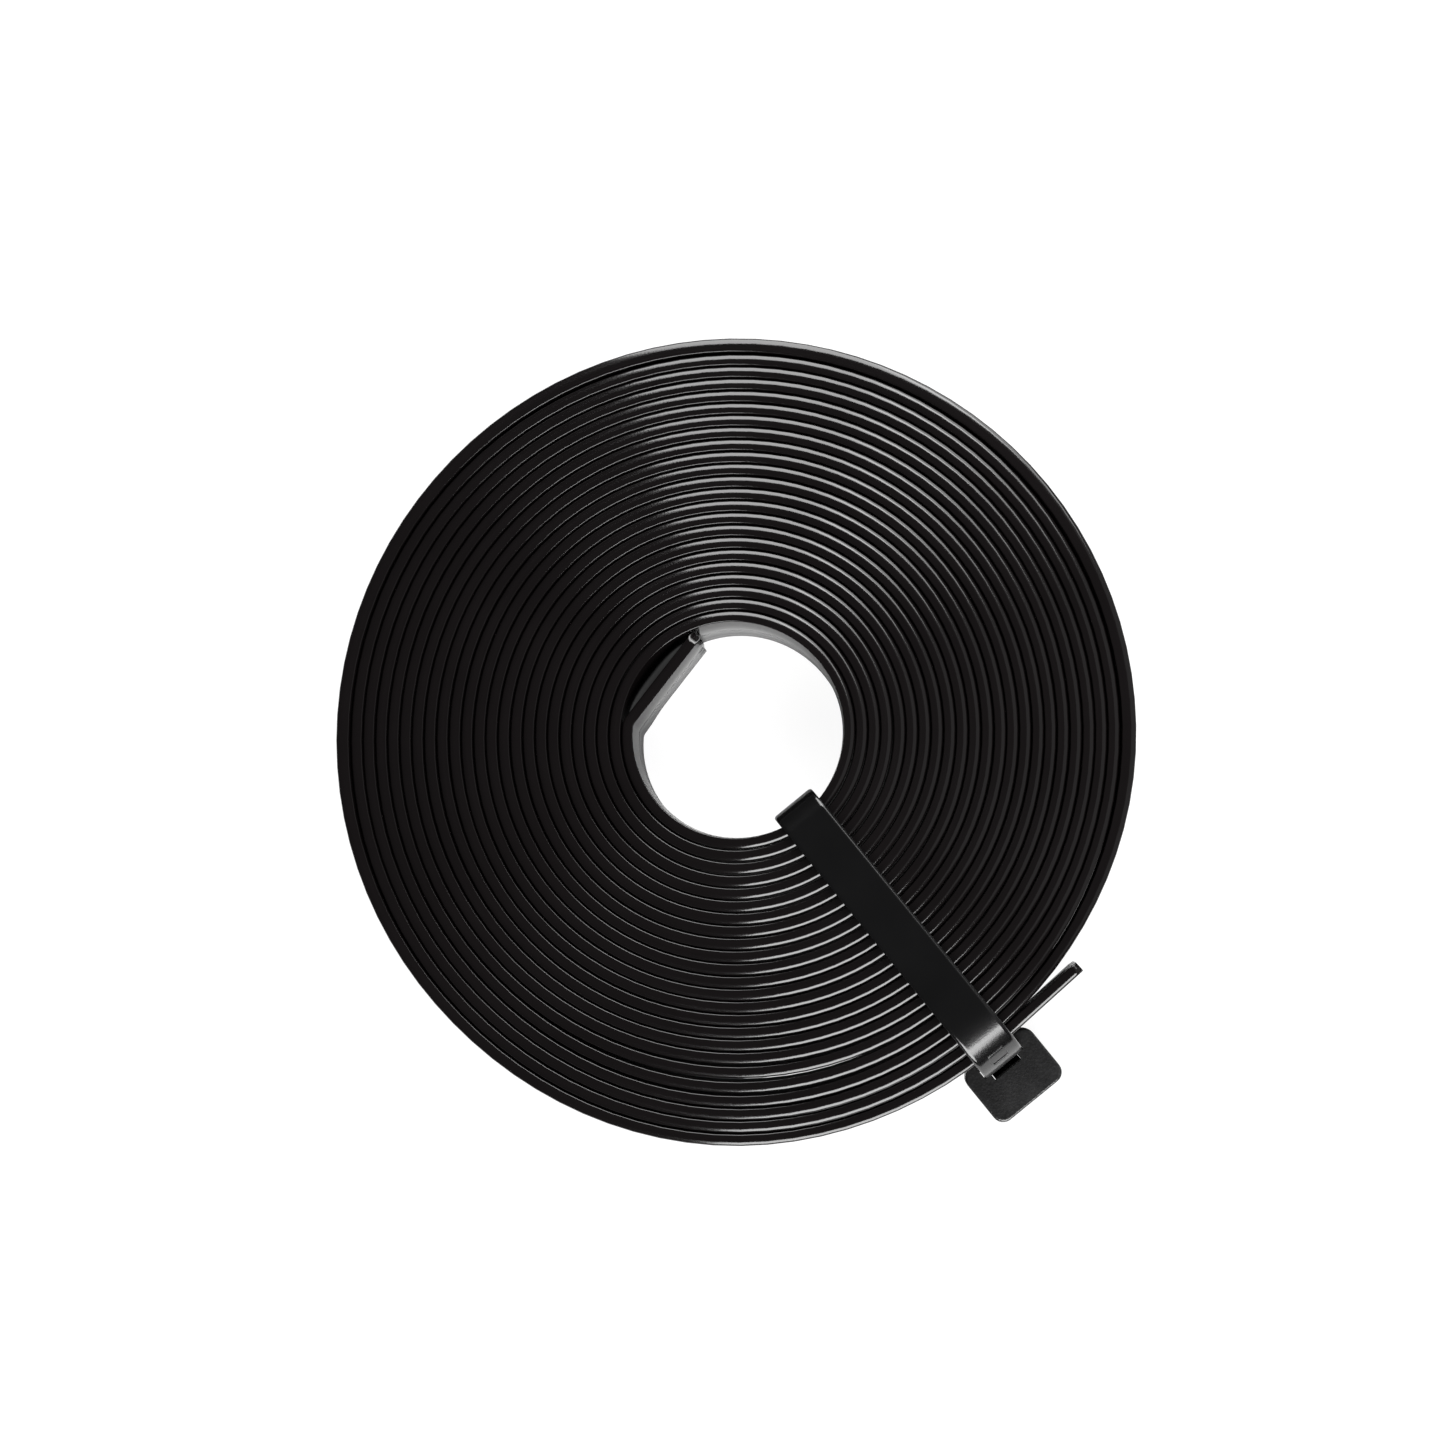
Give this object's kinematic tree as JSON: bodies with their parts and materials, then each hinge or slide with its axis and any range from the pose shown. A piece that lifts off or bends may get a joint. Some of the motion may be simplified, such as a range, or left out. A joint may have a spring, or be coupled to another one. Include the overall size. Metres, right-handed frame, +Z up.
{
  "type": "soaker hose",
  "caption": "Flat black soaker hose wound on edge into a spiral coil with both cut ends free, held by one wide cable tie round the coil.",
  "frame": {"origin": "on the floor plane that the coil stands on, where the coil's axis meets it", "axes": "+Z up along the coil's axis; seen from +Z the hose winds outward counter-clockwise, its inner end starts at azimuth 177 degrees, and the tie crosses the coil at azimuth 309 degrees (-51 degrees) from +X"},
  "size_m": [0.1622, 0.1639, 0.0288],
  "materials": {
    "hose": "glossy soft black PVC, extruded flat",
    "tie": "semi-gloss black nylon, strap smooth, head finely textured"
  },
  "bodies": {
    "coil": {"hose_coil": "hose", "hose_inner_end": "hose", "hose_outer_end": "hose", "tie_strap": "tie", "tie_head": "tie"},
    "pawl": {"tie_pawl": "tie"}
  },
  "joints": [
    {"name": "pawl_release", "type": "hinge", "parent": "coil", "child": "pawl", "pos_m": [0.05514, -0.06809, 0.0081], "axis": [-0.7771, -0.6293, 0], "range_deg": [0, 10], "stiffness_Nm_per_rad": 0.02}
  ]
}
